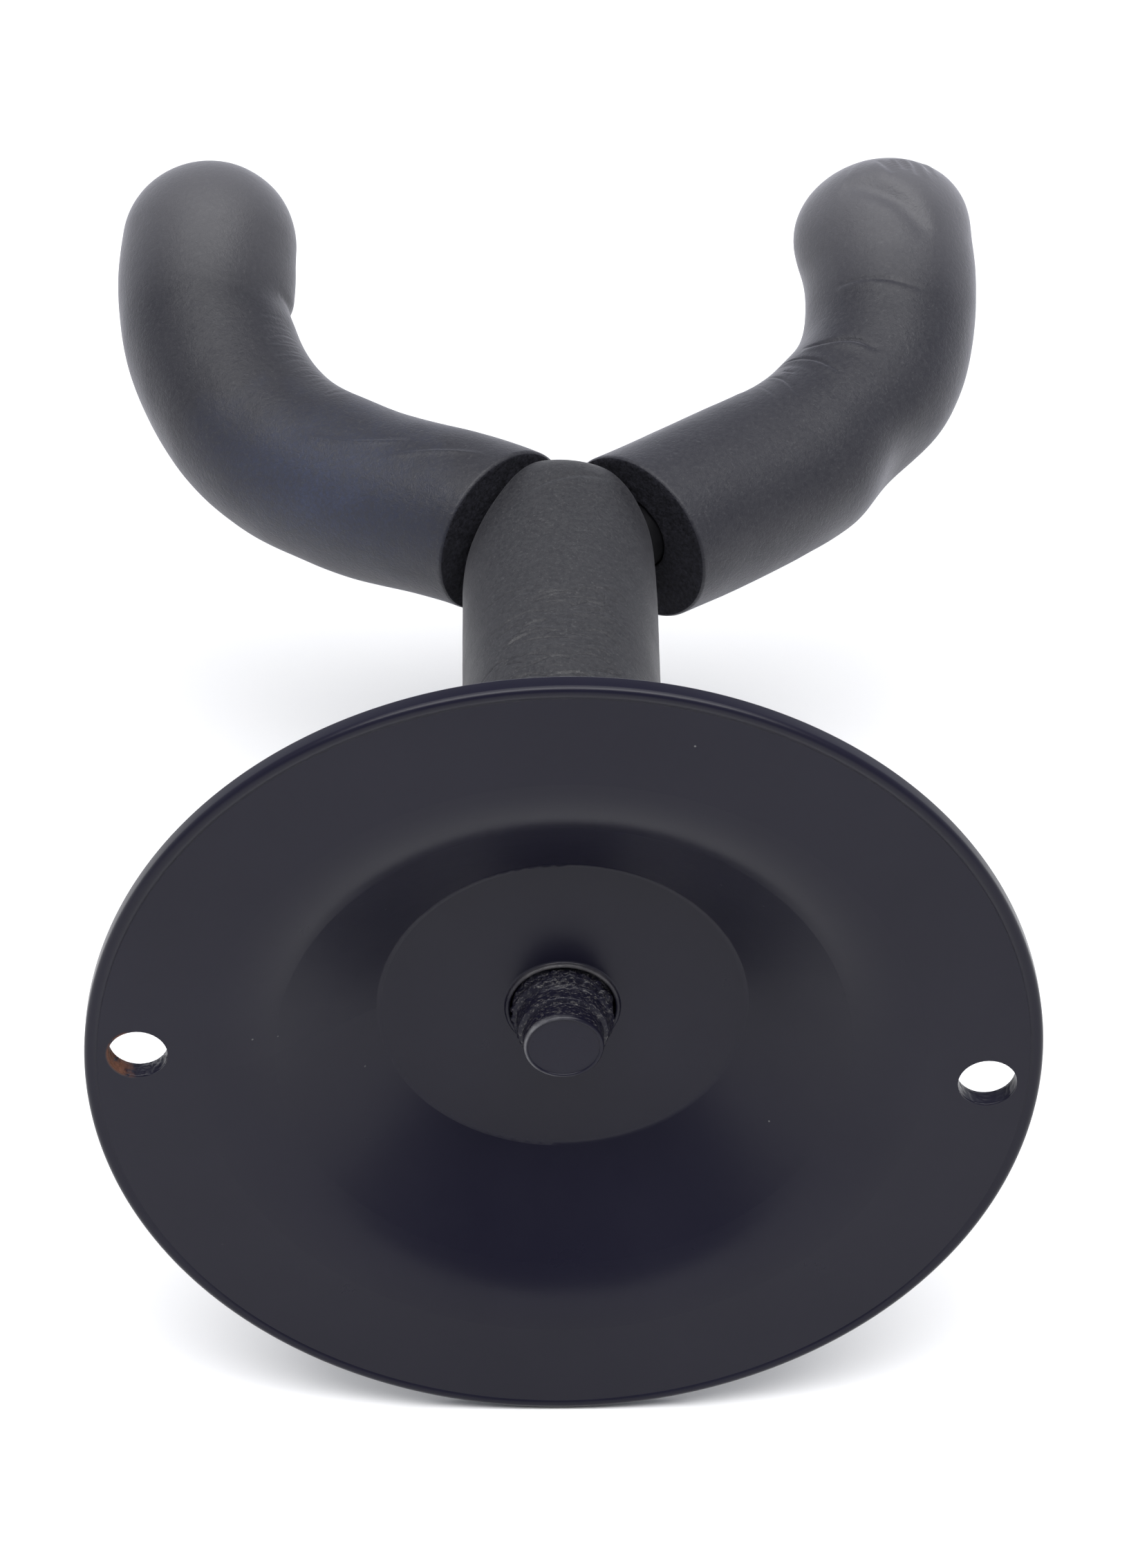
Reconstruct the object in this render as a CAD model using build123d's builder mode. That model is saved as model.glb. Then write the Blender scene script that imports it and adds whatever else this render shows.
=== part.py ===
from build123d import *
import os
from math import cos, radians, sin, tan

# Wall guitar hanger.  +Z is up and the wall is the plane Y = 0.
# The origin is the centre of the plate on the wall face, on the neck's axis,
# and the neck points away from the wall, along -Y.  Millimetres.

# ---- wall plate: a stamped steel disc, dished away from the wall ----
plate_diameter = 90.0
sheet = 1.9
rim_round = 0.6              # rolled edge on the wall side
edge_break = 0.3             # small rounding of cut edges
recess_depth = 9.0           # wall face to the flat centre
centre_diameter = 35.0       # flat centre of the dish
slope_angle = 35.0           # dish side, measured from the wall face
recess_blend = 12.0          # rounding from the flange into the dish side
centre_corner = 1.0          # inside corner round the flat centre
screw_pitch = 80.0
screw_hole_diameter = 5.6
screw_line_turn = 2.8        # screw-hole line against the level of the yoke, degrees

# ---- tapped collar in the centre of the plate ----
collar_wall = 1.4
collar_length = 3.0
collar_lip_width = 0.45      # raised lip round the bore, on the wall side
collar_lip_rise = 0.4
collar_lip_round = 0.2
collar_root = 0.8
thread_clearance = 0.05      # radial, stud in collar

# ---- neck rod ----
neck_diameter = 10.0
stud_short_of_wall = 3.0
pilot_diameter = 7.6         # plain point in front of the thread
pilot_length = 2.0
pilot_break = 0.2
stud_chamfer = 0.9           # lead-in of the thread
neck_reach = 79.5            # wall face to where the two prong axes meet
neck_cope = 2.0              # how far the neck's end wraps the yoke rod

# ---- yoke rod: one bent rod, welded across the end of the neck ----
rod_diameter = 8.0
spread_angle = 54.0          # each prong, measured from the neck's axis
heel_bend = 8.0              # centreline radius where the two prongs meet
prong_straight = 30.5        # from the meeting point to the start of the prong bend
prong_bend = 28.0            # centreline radius
tip_straight = 1.8           # from the end of the bend to the centre of the sleeve's round end
tip_rise = 35.0              # upward angle of the tip
tip_toe_in = 6.5             # inward angle of the tip
rod_tip_straight = 1.4       # rod past the end of its bend
rod_end_chamfer = 0.8

# ---- weld between neck and yoke ----
weld_leg_along = 5.0
weld_leg_out = 2.4

# ---- foam ----
neck_foam_diameter = 20.0
prong_foam_diameter = 18.5
foam_fit = 0.1               # radial, foam bore round a rod
sleeve_start = 10.0          # from the meeting point to the sleeve's cut end
foam_end_gap = 0.3           # between foam pieces
neck_foam_overhang = 10.5    # neck foam past the meeting point
neck_foam_round = 7.0        # rounding of its far end
plate_gap = 0.4              # between the turning arm and the plate

# ---- values that follow from the ones above ----
plate_radius = plate_diameter / 2
centre_radius = centre_diameter / 2
bend_half = tan(radians(slope_angle / 2))
dish_radius = centre_radius + recess_depth / tan(radians(slope_angle))
bore_radius = neck_diameter / 2 + thread_clearance
collar_radius = bore_radius + collar_wall
centre_back = recess_depth + sheet
collar_end = centre_back + collar_length
heel_back = heel_bend * (1 / sin(radians(spread_angle)) - 1)
heel_reach = neck_reach + heel_back
neck_end = heel_reach - rod_diameter / 2 + neck_cope
weld_start = neck_end - weld_leg_along
stud_start = stud_short_of_wall + pilot_length


def prong_points(side):
    """Meeting point, bend corner, end of the bend and the two directions of one prong.

    side is +1 for the prong towards +X and -1 for the one towards -X.
    """
    spread = radians(spread_angle)
    rise = radians(tip_rise)
    toe = radians(tip_toe_in)
    outward = Vector(side * sin(spread), -cos(spread), 0)
    tip_way = Vector(-side * sin(toe), -cos(toe) * cos(rise), cos(toe) * sin(rise))
    bend_tangent = prong_bend * tan(radians(outward.get_angle(tip_way) / 2))
    meeting = Vector(0, -neck_reach, 0)
    corner = meeting + outward * (prong_straight + bend_tangent)
    bend_end = corner + tip_way * bend_tangent
    return meeting, corner, bend_end, outward, tip_way


os.makedirs("parts", exist_ok=True)

# ---- wall_plate ----
with BuildPart() as wall_plate:
    with BuildSketch(Plane.XY):
        with BuildLine():
            FilletPolyline(
                (bore_radius, collar_lip_rise - recess_depth),
                (bore_radius + collar_lip_width, collar_lip_rise - recess_depth),
                (bore_radius + collar_lip_width, -recess_depth),
                (centre_radius, -recess_depth),
                (dish_radius, 0),
                (plate_radius, 0),
                (plate_radius, -sheet),
                (dish_radius + sheet * bend_half, -sheet),
                (centre_radius + sheet * bend_half, -centre_back),
                (collar_radius, -centre_back),
                (collar_radius, -collar_end),
                (bore_radius, -collar_end),
                radius=[
                    collar_lip_round,
                    collar_lip_round,
                    collar_lip_round,
                    centre_corner,
                    recess_blend,
                    rim_round,
                    edge_break,
                    recess_blend - sheet,
                    centre_corner + sheet,
                    collar_root,
                    edge_break,
                    edge_break,
                ],
                close=True,
            )
        make_face()
    revolve(axis=Axis.Y)
    with BuildSketch(Plane.XZ):
        with PolarLocations(screw_pitch / 2, 2, start_angle=screw_line_turn):
            Circle(screw_hole_diameter / 2)
    extrude(amount=sheet, mode=Mode.SUBTRACT)
wall_plate.part.label = "wall_plate"

# ---- yoke_rod ----
_, right_corner, right_bend_end, _, right_tip_way = prong_points(1)
_, left_corner, left_bend_end, _, left_tip_way = prong_points(-1)
with BuildPart() as yoke_rod:
    with BuildLine() as yoke_line:
        FilletPolyline(
            left_bend_end + left_tip_way * rod_tip_straight,
            left_corner,
            (0, -neck_reach, 0),
            right_corner,
            right_bend_end + right_tip_way * rod_tip_straight,
            radius=[prong_bend, heel_bend, prong_bend],
        )
    with BuildSketch(Plane(origin=yoke_line.line @ 0, z_dir=yoke_line.line % 0)):
        Circle(rod_diameter / 2)
    sweep()
    rod_ends = yoke_rod.faces().filter_by(GeomType.PLANE)
    chamfer(rod_ends.edges(), length=rod_end_chamfer)
yoke_rod.part.label = "yoke_rod"

# ---- neck_rod: its wall end is the stud that screws into the collar ----
with BuildPart() as neck_rod:
    with BuildSketch(Plane.XZ.offset(stud_start)):
        Circle(neck_diameter / 2)
    extrude(amount=neck_end - stud_start)
    stud_face = neck_rod.faces().sort_by(Axis.Y)[-1]
    chamfer(stud_face.edges(), length=stud_chamfer)
    with BuildSketch(Plane.XZ.offset(stud_short_of_wall)):
        Circle(pilot_diameter / 2)
    extrude(amount=pilot_length)
    pilot_face = neck_rod.faces().sort_by(Axis.Y)[-1]
    chamfer(pilot_face.edges(), length=pilot_break)
    add(yoke_rod.part, mode=Mode.SUBTRACT)
neck_rod.part.label = "neck_rod"

# ---- weld_bead: ring of weld metal behind the yoke ----
with BuildPart() as weld_bead:
    with BuildSketch(Plane.XY):
        with BuildLine():
            Polyline(
                (neck_diameter / 2, -weld_start),
                (neck_diameter / 2, -neck_end),
                (neck_diameter / 2 + weld_leg_out, -neck_end),
                close=True,
            )
        make_face()
    revolve(axis=Axis.Y)
    add(yoke_rod.part, mode=Mode.SUBTRACT)
weld_bead.part.label = "weld_bead"

# ---- neck_sleeve: foam tube, its far end pinched between the prong sleeves ----
neck_foam_radius = neck_foam_diameter / 2
neck_bore = neck_diameter / 2 + foam_fit
weld_bore = neck_diameter / 2 + weld_leg_out + foam_fit
neck_foam_start = centre_back + plate_gap
collar_pocket = collar_radius + collar_root + plate_gap
with BuildPart() as neck_sleeve:
    with BuildSketch(Plane.XY):
        with BuildLine():
            FilletPolyline(
                (0, -neck_foam_start),
                (neck_foam_radius, -neck_foam_start),
                (neck_foam_radius, -neck_reach - neck_foam_overhang),
                (0, -neck_reach - neck_foam_overhang),
                radius=[0, edge_break, neck_foam_round, 0],
                close=True,
            )
        make_face()
    revolve(axis=Axis.Y)
    with BuildSketch(Plane.XY):
        with BuildLine():
            Polyline(
                (0, -neck_foam_start),
                (collar_pocket, -neck_foam_start),
                (collar_pocket, -collar_end - plate_gap),
                (neck_bore, -collar_end - plate_gap),
                (neck_bore, -weld_start),
                (weld_bore, -neck_end - foam_fit),
                (0, -neck_end - foam_fit),
                close=True,
            )
        make_face()
    revolve(axis=Axis.Y, mode=Mode.SUBTRACT)
    with BuildLine() as heel_line:
        FilletPolyline(left_corner, (0, -neck_reach, 0), right_corner, radius=[heel_bend])
    with BuildSketch(Plane(origin=heel_line.line @ 0, z_dir=heel_line.line % 0)):
        Circle(rod_diameter / 2 + foam_fit)
    sweep(mode=Mode.SUBTRACT)
    for side in (1, -1):
        meeting, _, _, outward, _ = prong_points(side)
        face_centre = meeting + outward * (sleeve_start - foam_end_gap)
        with BuildSketch(Plane(origin=face_centre, z_dir=outward)):
            Circle(2 * neck_foam_diameter)
        extrude(amount=neck_foam_diameter, mode=Mode.SUBTRACT)
neck_sleeve.part.label = "neck_sleeve"


def prong_sleeve(side):
    """Foam sleeve of one prong: cut square at its inner end, closed and round at the tip."""
    meeting, corner, bend_end, outward, tip_way = prong_points(side)
    start = meeting + outward * sleeve_start
    tip = bend_end + tip_way * tip_straight
    bore_end = bend_end + tip_way * (rod_tip_straight + foam_fit)
    with BuildPart() as sleeve:
        with BuildLine():
            FilletPolyline(start, corner, tip, radius=[prong_bend])
        with BuildSketch(Plane(origin=start, z_dir=outward)):
            Circle(prong_foam_diameter / 2)
        sweep()
        with Locations(tip):
            Sphere(prong_foam_diameter / 2)
        with BuildLine():
            FilletPolyline(start, corner, bore_end, radius=[prong_bend])
        with BuildSketch(Plane(origin=start, z_dir=outward)):
            Circle(rod_diameter / 2 + foam_fit)
        sweep(mode=Mode.SUBTRACT)
    return sleeve


# ---- prong sleeves ----
right_sleeve = prong_sleeve(1)
right_sleeve.part.label = "right_sleeve"
left_sleeve = prong_sleeve(-1)
left_sleeve.part.label = "left_sleeve"

export_step(wall_plate.part, "parts/wall_plate.step")
export_step(neck_rod.part, "parts/neck_rod.step")
export_step(yoke_rod.part, "parts/yoke_rod.step")
export_step(weld_bead.part, "parts/weld_bead.step")
export_step(neck_sleeve.part, "parts/neck_sleeve.step")
export_step(right_sleeve.part, "parts/right_sleeve.step")
export_step(left_sleeve.part, "parts/left_sleeve.step")
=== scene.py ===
import math

import bmesh
import bpy
import numpy as np
from mathutils import Matrix, Vector, noise


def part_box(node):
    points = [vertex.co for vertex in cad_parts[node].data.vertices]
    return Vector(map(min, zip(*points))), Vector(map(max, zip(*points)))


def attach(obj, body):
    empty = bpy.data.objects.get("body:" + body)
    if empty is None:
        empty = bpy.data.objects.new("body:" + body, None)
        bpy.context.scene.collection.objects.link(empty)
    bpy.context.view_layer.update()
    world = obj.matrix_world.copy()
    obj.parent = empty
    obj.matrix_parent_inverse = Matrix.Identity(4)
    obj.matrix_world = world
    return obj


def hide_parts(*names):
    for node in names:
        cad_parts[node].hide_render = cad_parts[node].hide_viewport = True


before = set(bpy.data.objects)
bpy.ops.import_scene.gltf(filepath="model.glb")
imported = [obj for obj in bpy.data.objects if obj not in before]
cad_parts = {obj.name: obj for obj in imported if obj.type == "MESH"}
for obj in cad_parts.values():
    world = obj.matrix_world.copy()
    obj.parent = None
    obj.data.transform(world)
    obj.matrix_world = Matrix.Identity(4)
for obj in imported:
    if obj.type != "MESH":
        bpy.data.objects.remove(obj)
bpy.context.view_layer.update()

# Blender units are metres.  The sizes below are millimetres, and each mesh is
# worked out in millimetres and scaled by MM when it is written.
MM = 0.001

# ---------------------------------------------------------------------------
# Sizes, from the frame and from the design
# ---------------------------------------------------------------------------
PLATE_LOW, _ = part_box("wall_plate")
_, STUD_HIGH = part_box("neck_rod")
NECK_LOW, NECK_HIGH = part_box("neck_sleeve")

PLATE_BOTTOM = PLATE_LOW[2] / MM
PLATE_RADIUS = -PLATE_BOTTOM
COLLAR_END = -PLATE_LOW[1] / MM        # distances from the wall are positive
STUD_TIP = -STUD_HIGH[1] / MM
STUD_RADIUS = STUD_HIGH[0] / MM
STUD_RIM_RADIUS = 3.78                 # rounded rim of the stud's flat face
COLLAR_LIP_RADIUS = STUD_RADIUS + 0.3  # middle of the raised lip round the stud
NECK_FOAM_START = -NECK_HIGH[1] / MM
NECK_FOAM_END = -NECK_LOW[1] / MM
NECK_FOAM_RADIUS = NECK_HIGH[2] / MM

NECK_REACH = 79.5                      # wall face to where the two prong axes meet
SPREAD = math.radians(54.0)            # prong from the neck's axis
TIP_RISE = math.radians(35.0)
TIP_TOE_IN = math.radians(6.5)
PRONG_STRAIGHT = 30.5
PRONG_BEND = 28.0
TIP_STRAIGHT = 1.8
ROD_TIP_STRAIGHT = 1.4
ROD_RADIUS = 4.0
FOAM_FIT = 0.1                         # radial, foam bore round a rod
SHEET = 1.9
RECESS_DEPTH = 9.0

# Each sleeve's cut end isn't quite square: distance from the meeting point, how far the
# cut leans, and the side (degrees round the sleeve) towards which it leans.
RIGHT_CUT = (6.84, 1.65, 137.0)
LEFT_CUT = (11.2, 1.8, 147.0)
# The bore is off-centre at the cut end: how far the foam sits to its inner and upper side.
RIGHT_OFFSET = (1.8, 0.35)
LEFT_OFFSET = (-0.38, -0.06)

SCREW_RADIUS = 2.8
SCREW_PLACE = 40.0                     # from the plate's centre
SCREW_LINE_TURN = math.radians(2.8)

CAMERA_DISTANCE = 495.8 * MM
CAMERA_AZIMUTH = math.radians(1.825)
CAMERA_ELEVATION = math.radians(41.57)
CAMERA_ROLL = math.radians(1.0)
CAMERA_AIM = Vector((-0.88, -44.0, -0.78)) * MM
CAMERA_LENS = 121.0


# ---------------------------------------------------------------------------
# Camera, lights, floor
# ---------------------------------------------------------------------------
def make_camera():
    data = bpy.data.cameras.new("camera")
    camera = bpy.data.objects.new("camera", data)
    bpy.context.scene.collection.objects.link(camera)
    data.sensor_fit = "AUTO"
    data.sensor_width = 36.0
    data.lens = CAMERA_LENS
    data.clip_start = 0.01
    data.clip_end = 20.0
    away = Vector((
        math.sin(CAMERA_AZIMUTH) * math.cos(CAMERA_ELEVATION),
        math.cos(CAMERA_AZIMUTH) * math.cos(CAMERA_ELEVATION),
        math.sin(CAMERA_ELEVATION),
    ))
    camera.location = away * CAMERA_DISTANCE
    look = (CAMERA_AIM - camera.location).to_track_quat("-Z", "Y").to_matrix()
    turned = look @ Matrix.Rotation(CAMERA_ROLL, 3, "Z")
    camera.rotation_euler = turned.to_euler()
    bpy.context.scene.camera = camera


def area_light(name, place, aim, size, power):
    data = bpy.data.lights.new(name, "AREA")
    data.shape = "RECTANGLE"
    data.size, data.size_y = size
    data.energy = power
    light = bpy.data.objects.new(name, data)
    bpy.context.scene.collection.objects.link(light)
    light.location = place
    light.rotation_euler = (Vector(aim) - Vector(place)).to_track_quat("-Z", "Y").to_euler()


def make_lights():
    area_light("overhead_softbox", (0.0, 0.1, 1.1), (0, -0.05, 0), (1.7, 1.4), 25.0)
    area_light("front_fill", (0.0, 0.20, 0.55), (0, 0.15, -0.045), (0.9, 0.2), 3.6)


def make_world():
    """Bright near the floor, dim higher up, and dimmer again on the wall's side."""
    world = bpy.data.worlds.new("studio")
    bpy.context.scene.world = world
    world.use_nodes = True
    tree = world.node_tree
    place = tree.nodes.new("ShaderNodeTexCoord").outputs["Generated"]
    split = tree.nodes.new("ShaderNodeSeparateXYZ")
    tree.links.new(place, split.inputs["Vector"])
    shares = []
    for axis, start, end, at_start, at_end in (("Y", -0.6, 0.6, 1.0, 0.35), ("Z", 0.15, 0.60, 1.15, 0.28)):
        fade = tree.nodes.new("ShaderNodeMapRange")
        fade.inputs["From Min"].default_value = start
        fade.inputs["From Max"].default_value = end
        fade.inputs["To Min"].default_value = at_start
        fade.inputs["To Max"].default_value = at_end
        tree.links.new(split.outputs[axis], fade.inputs["Value"])
        shares.append(fade.outputs["Result"])
    both = tree.nodes.new("ShaderNodeMath")
    both.operation = "MULTIPLY"
    for share, socket in zip(shares, both.inputs):
        tree.links.new(share, socket)
    back = tree.nodes["Background"]
    back.inputs["Color"].default_value = (0.90, 0.93, 1.0, 1.0)
    tree.links.new(both.outputs["Value"], back.inputs["Strength"])


def make_floor():
    mesh = bpy.data.meshes.new("floor")
    size = 3.0
    z = (PLATE_BOTTOM - 0.2) * MM
    mesh.from_pydata(
        [(-size, -size, z), (size, -size, z), (size, size, z), (-size, size, z)],
        [], [(0, 1, 2, 3)],
    )
    floor = bpy.data.objects.new("floor", mesh)
    bpy.context.scene.collection.objects.link(floor)
    material = bpy.data.materials.new("pale_floor")
    material.use_nodes = True
    shader = material.node_tree.nodes["Principled BSDF"]
    shader.inputs["Base Color"].default_value = (0.74, 0.74, 0.75, 1.0)
    shader.inputs["Roughness"].default_value = 0.9
    shader.inputs["Specular IOR Level"].default_value = 0.1
    mesh.materials.append(material)


# ---------------------------------------------------------------------------
# Materials
# ---------------------------------------------------------------------------
class Nodes:
    """A short way to write a material's node tree.  Positions are in millimetres."""

    def __init__(self, name):
        self.material = bpy.data.materials.new(name)
        self.material.use_nodes = True
        self.tree = self.material.node_tree
        self.shader = self.tree.nodes["Principled BSDF"]
        place = self.tree.nodes.new("ShaderNodeTexCoord").outputs["Object"]
        self.place = self.vector("SCALE", place, scale=1.0 / MM)

    def set(self, **sockets):
        for name, value in sockets.items():
            self.shader.inputs[name.replace("_", " ")].default_value = value

    def to(self, name, output):
        self.link(output, self.shader.inputs[name])

    def link(self, output, socket):
        self.tree.links.new(output, socket)

    def vector(self, operation, first, second=None, scale=None):
        node = self.tree.nodes.new("ShaderNodeVectorMath")
        node.operation = operation
        self.link(first, node.inputs[0])
        if second is not None:
            node.inputs[1].default_value = second
        if scale is not None:
            node.inputs["Scale"].default_value = scale
        return node.outputs["Value"] if operation == "LENGTH" else node.outputs["Vector"]

    def off_axis(self, point):
        """How far a point is from the Y axis."""
        return self.vector("LENGTH", self.vector("MULTIPLY", point, (1.0, 0.0, 1.0)))

    def axis(self, output, name):
        node = self.tree.nodes.new("ShaderNodeSeparateXYZ")
        self.link(output, node.inputs["Vector"])
        return node.outputs[name]

    def math(self, operation, first, second=0.0):
        node = self.tree.nodes.new("ShaderNodeMath")
        node.operation = operation
        for socket, value in zip(node.inputs, (first, second)):
            if isinstance(value, float):
                socket.default_value = value
            else:
                self.link(value, socket)
        return node.outputs["Value"]

    def noise(self, size, detail=4.0, rough=0.5, stretch=(1.0, 1.0, 1.0), warp=0.0):
        """Noise whose features are about size millimetres, stretched along the axes."""
        node = self.tree.nodes.new("ShaderNodeTexNoise")
        node.inputs["Scale"].default_value = 1.0 / size
        node.inputs["Detail"].default_value = detail
        node.inputs["Roughness"].default_value = rough
        node.inputs["Distortion"].default_value = warp
        self.link(self.vector("MULTIPLY", self.place, stretch), node.inputs["Vector"])
        return node.outputs["Fac"]

    def cells(self, size):
        node = self.tree.nodes.new("ShaderNodeTexVoronoi")
        node.inputs["Scale"].default_value = 1.0 / size
        self.link(self.place, node.inputs["Vector"])
        return node.outputs["Distance"]

    def ramp(self, value, *stops):
        node = self.tree.nodes.new("ShaderNodeValToRGB")
        elements = node.color_ramp.elements
        while len(elements) < len(stops):
            elements.new(0.5)
        for element, (position, colour) in zip(elements, stops):
            element.position = position
            element.color = (*colour, 1.0)
        self.link(value, node.inputs["Fac"])
        return node.outputs["Color"]

    def spread(self, value, low, high, to_low, to_high):
        node = self.tree.nodes.new("ShaderNodeMapRange")
        node.inputs["From Min"].default_value = low
        node.inputs["From Max"].default_value = high
        node.inputs["To Min"].default_value = to_low
        node.inputs["To Max"].default_value = to_high
        self.link(value, node.inputs["Value"])
        return node.outputs["Result"]

    def mix(self, share, first, second):
        node = self.tree.nodes.new("ShaderNodeMix")
        node.data_type = "RGBA"
        self.link(share, node.inputs["Factor"])
        for socket, value in ((node.inputs[6], first), (node.inputs[7], second)):
            if isinstance(value, tuple):
                socket.default_value = (*value, 1.0)
            else:
                self.link(value, socket)
        return node.outputs[2]

    def bump(self, height, distance, before=None):
        node = self.tree.nodes.new("ShaderNodeBump")
        node.inputs["Distance"].default_value = distance * MM
        self.link(height, node.inputs["Height"])
        if before is not None:
            self.link(before, node.inputs["Normal"])
        return node.outputs["Normal"]


ENAMEL_DARK = (0.0054, 0.0050, 0.0120)
ENAMEL_PALE = (0.0076, 0.0072, 0.0150)


def plate_paint():
    """Satin black enamel: fine peel, faint dust, a painted highlight on the upper side of the collar lip,
    rusty metal in one screw hole.
    """
    n = Nodes("plate_paint")
    n.set(Specular_IOR_Level=0.185)
    tone = n.noise(28.0, 5.0, 0.55)
    enamel = n.ramp(tone, (0.35, ENAMEL_DARK), (0.7, ENAMEL_PALE))
    dust = n.spread(n.cells(2.6), 0.050, 0.028, 0.0, 1.0)
    where = n.spread(n.noise(9.0, 2.0), 0.58, 0.64, 0.0, 0.8)
    dusty = n.mix(n.math("MULTIPLY", dust, where), enamel, (0.14, 0.14, 0.14))
    hole = (SCREW_PLACE * math.cos(SCREW_LINE_TURN), 0.0, SCREW_PLACE * math.sin(SCREW_LINE_TURN))
    offset = n.vector("SUBTRACT", n.place, hole)
    inside = n.spread(n.off_axis(offset), SCREW_RADIUS + 0.25, SCREW_RADIUS + 0.05, 0.0, 1.0)
    patches = n.spread(n.noise(1.6, 3.0, 0.6), 0.40, 0.50, 0.0, 1.0)
    outer_side = n.spread(n.axis(offset, "X"), 0.2, 1.6, 0.0, 1.0)
    # Here the mask is real bare, rusty metal inside one screw hole.
    bare_metal_and_painted_highlight = n.math("MULTIPLY", n.math("MULTIPLY", inside, patches), outer_side)
    # Painted highlight: a paler ring on the upper side of the collar lip, standing in for the light it
    # catches there.
    beside_lip = n.math("ABSOLUTE", n.math("SUBTRACT", n.off_axis(n.place), COLLAR_LIP_RADIUS))
    lit_upper_side = n.spread(n.axis(n.place, "Z"), 1.0, 4.5, 0.0, 0.8)
    lip = n.math("MULTIPLY", n.spread(beside_lip, 0.30, 0.10, 0.0, 1.0), lit_upper_side)
    with_lip_highlight = n.mix(n.math("MULTIPLY", lip, n.noise(1.2, 4.0)), dusty, (0.15, 0.145, 0.145))
    n.to("Base Color", n.mix(bare_metal_and_painted_highlight, with_lip_highlight, (0.085, 0.036, 0.022)))
    satin = n.spread(n.noise(11.0, 6.0, 0.6), 0.3, 0.7, 0.27, 0.34)
    n.to("Roughness", n.math("ADD", satin, n.math("MULTIPLY", bare_metal_and_painted_highlight, 0.4)))
    peel = n.bump(n.noise(1.1, 3.0), 0.006)
    grain = n.bump(n.noise(0.22, 3.0, 0.6), 0.0025, before=peel)
    n.to("Normal", n.bump(n.math("MULTIPLY", bare_metal_and_painted_highlight, n.noise(0.35, 4.0, 0.7)), 0.12, before=grain))
    return n.material


def stud_paint():
    """The plate's enamel, worn in specks behind the stud's flat face, with a painted highlight on one side of
    its rim.
    """
    n = Nodes("stud_paint")
    n.set(Specular_IOR_Level=0.17)
    tone = n.noise(28.0, 5.0, 0.55)
    enamel = n.ramp(tone, (0.35, ENAMEL_DARK), (0.7, ENAMEL_PALE))
    behind = n.spread(n.axis(n.place, "Y"), -STUD_TIP - 0.2, -STUD_TIP - 0.6, 0.0, 1.0)
    worn = n.spread(n.noise(0.45, 5.0, 0.75, (1.0, 3.5, 1.0)), 0.54, 0.68, 0.0, 0.8)
    chipped = n.mix(n.math("MULTIPLY", worn, behind), enamel, (0.15, 0.145, 0.14))
    # Painted highlight: a pale ring on the +X side of the rim, just behind the flat face, standing in for
    # light caught by the rim's rounding.
    beside_rim = n.math("ABSOLUTE", n.math("SUBTRACT", n.off_axis(n.place), STUD_RIM_RADIUS))
    lit_side = n.spread(n.axis(n.place, "X"), -1.5, 3.2, 0.0, 0.9)
    in_front = n.spread(n.axis(n.place, "Y"), -STUD_TIP - 0.6, -STUD_TIP - 0.2, 0.0, 1.0)
    bare_metal_and_painted_highlight = n.math("MULTIPLY", n.spread(beside_rim, 0.28, 0.12, 0.0, 1.0), lit_side)
    bare_metal_and_painted_highlight = n.math("MULTIPLY", bare_metal_and_painted_highlight, in_front)
    n.to("Base Color", n.mix(n.math("MULTIPLY", bare_metal_and_painted_highlight, n.noise(0.9, 3.0)), chipped, (0.24, 0.24, 0.25)))
    n.to("Roughness", n.spread(n.noise(0.8, 4.0), 0.3, 0.7, 0.26, 0.40))
    rough = n.math("MULTIPLY", n.noise(0.25, 4.0, 0.65), n.math("ADD", behind, 0.12))
    n.to("Normal", n.bump(rough, 0.035))
    return n.material


def rod_paint():
    """Nearly black paint on the rods and the weld, deep between the foam pieces."""
    n = Nodes("rod_paint")
    n.set(Specular_IOR_Level=0.12)
    tone = n.noise(3.5)
    n.to("Base Color", n.ramp(tone, (0.3, (0.002, 0.002, 0.003)), (0.7, (0.005, 0.005, 0.006))))
    n.to("Roughness", n.spread(tone, 0.3, 0.7, 0.45, 0.60))
    n.to("Normal", n.bump(n.noise(0.7, 3.0), 0.02))
    return n.material


# The painted reflection band reaches 19 mm across, 16 mm along the neck's way and 8 mm up or down.
REFLECTION_BAND_SHAPE = (1 / 19.0, 1 / 16.0, 1 / 8.0)
# The tips are painted paler, a painted highlight for the light their round ends catch: Y (mm) where that
# begins and where it is full.
TIP_HIGHLIGHT_FROM = -112.0
TIP_HIGHLIGHT_TO = -131.0


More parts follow.
